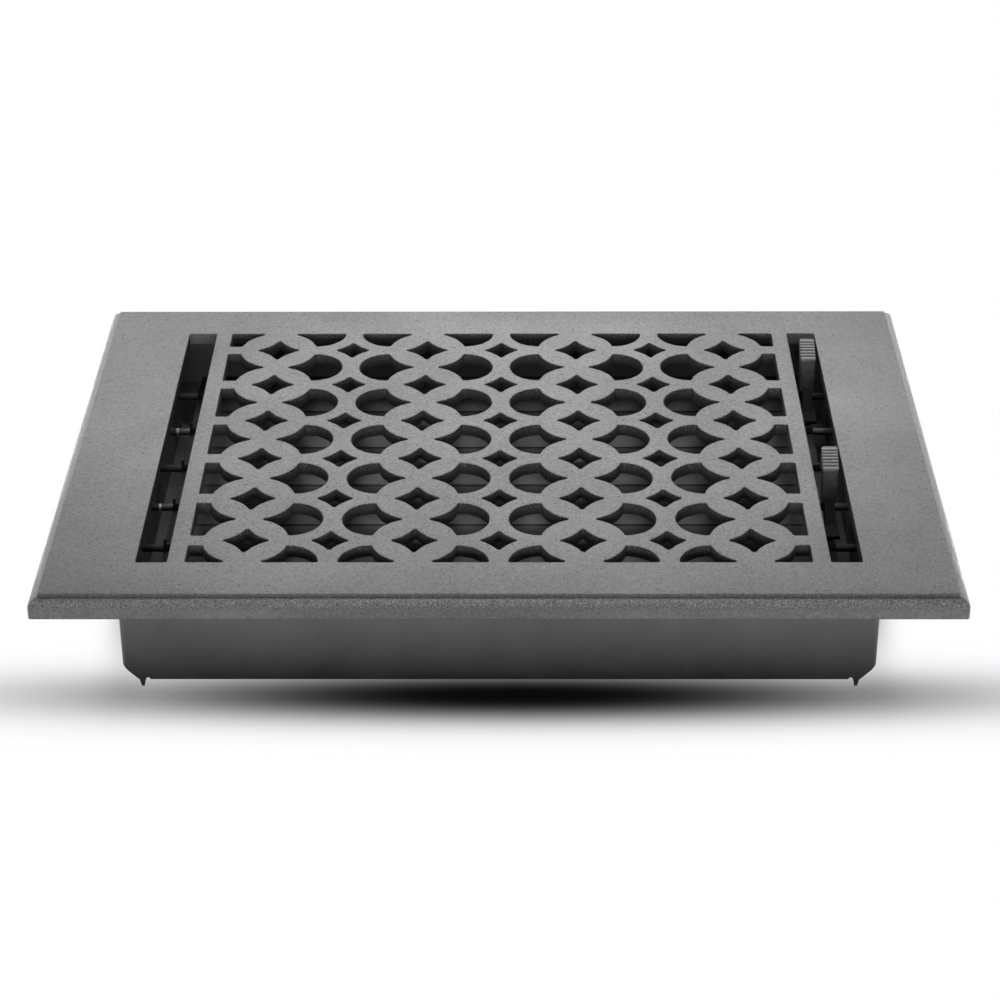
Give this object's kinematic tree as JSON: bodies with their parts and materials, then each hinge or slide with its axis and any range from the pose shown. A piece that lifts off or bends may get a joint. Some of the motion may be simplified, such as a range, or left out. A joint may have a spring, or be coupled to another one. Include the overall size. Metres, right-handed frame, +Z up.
{
  "type": "floor register",
  "caption": "Cast floor register: moulded face grille of overlapping circles over a sheet steel damper box with linked louvers turned by thumb levers in a side slot.",
  "frame": {"origin": "under the middle of the face, at the level of the peg tips the box stands on", "axes": "+X along the long side towards the lever slot, +Y away from the viewer in the picture, +Z up out of the face"},
  "size_m": [0.343, 0.2414, 0.0591],
  "materials": {
    "cast_face": "matte sand-cast, charcoal coated",
    "box_paint": "satin black",
    "louver_paint": "satin black",
    "lever_plastic": "moulded, ridged head",
    "bright_steel": "plain"
  },
  "bodies": {
    "frame": {"face_grille": "cast_face", "front_panel": "box_paint", "back_panel": "box_paint", "left_end_panel": "box_paint", "right_end_panel": "box_paint", "flange_screws": "bright_steel"},
    "back_drive": {"back_middle_blade": "louver_paint", "back_middle_rod": "louver_paint", "back_lever": "lever_plastic", "back_lever_rivet": "bright_steel"},
    "back_rear": {"back_rear_blade": "louver_paint", "back_rear_rod": "louver_paint"},
    "back_fore": {"back_fore_blade": "louver_paint", "back_fore_rod": "louver_paint"},
    "back_link": {"back_link_bar": "louver_paint"},
    "front_drive": {"front_middle_blade": "louver_paint", "front_middle_rod": "louver_paint", "front_lever": "lever_plastic", "front_lever_rivet": "bright_steel"},
    "front_rear": {"front_rear_blade": "louver_paint", "front_rear_rod": "louver_paint"},
    "front_fore": {"front_fore_blade": "louver_paint", "front_fore_rod": "louver_paint"},
    "front_link": {"front_link_bar": "louver_paint"}
  },
  "joints": [
    {"name": "back_lever_turn", "type": "hinge", "parent": "frame", "child": "back_drive", "pos_m": [0, 0.04763, 0.03051], "axis": [1, 0, 0], "range_deg": [0, 82]},
    {"name": "back_rear_turn", "type": "hinge", "parent": "frame", "child": "back_rear", "pos_m": [0, 0.07938, 0.03051], "axis": [1, 0, 0], "range_deg": [0, 82]},
    {"name": "back_fore_turn", "type": "hinge", "parent": "frame", "child": "back_fore", "pos_m": [0, 0.01588, 0.03051], "axis": [1, 0, 0], "range_deg": [0, 82]},
    {"name": "back_link_turn", "type": "hinge", "parent": "back_drive", "child": "back_link", "pos_m": [-0.1317, 0.04154, 0.02258], "axis": [1, 0, 0], "range_deg": [-82, 0]},
    {"name": "front_lever_turn", "type": "hinge", "parent": "frame", "child": "front_drive", "pos_m": [0, -0.04763, 0.03051], "axis": [1, 0, 0], "range_deg": [0, 82]},
    {"name": "front_rear_turn", "type": "hinge", "parent": "frame", "child": "front_rear", "pos_m": [0, -0.01588, 0.03051], "axis": [1, 0, 0], "range_deg": [0, 82]},
    {"name": "front_fore_turn", "type": "hinge", "parent": "frame", "child": "front_fore", "pos_m": [0, -0.07938, 0.03051], "axis": [1, 0, 0], "range_deg": [0, 82]},
    {"name": "front_link_turn", "type": "hinge", "parent": "front_drive", "child": "front_link", "pos_m": [-0.1317, -0.05371, 0.02258], "axis": [1, 0, 0], "range_deg": [-82, 0]}
  ],
  "couplings": [
    {"joint": "back_rear_turn", "follows": "back_lever_turn", "ratio": 1},
    {"joint": "back_fore_turn", "follows": "back_lever_turn", "ratio": 1},
    {"joint": "back_link_turn", "follows": "back_lever_turn", "ratio": -1},
    {"joint": "front_rear_turn", "follows": "front_lever_turn", "ratio": 1},
    {"joint": "front_fore_turn", "follows": "front_lever_turn", "ratio": 1},
    {"joint": "front_link_turn", "follows": "front_lever_turn", "ratio": -1}
  ]
}
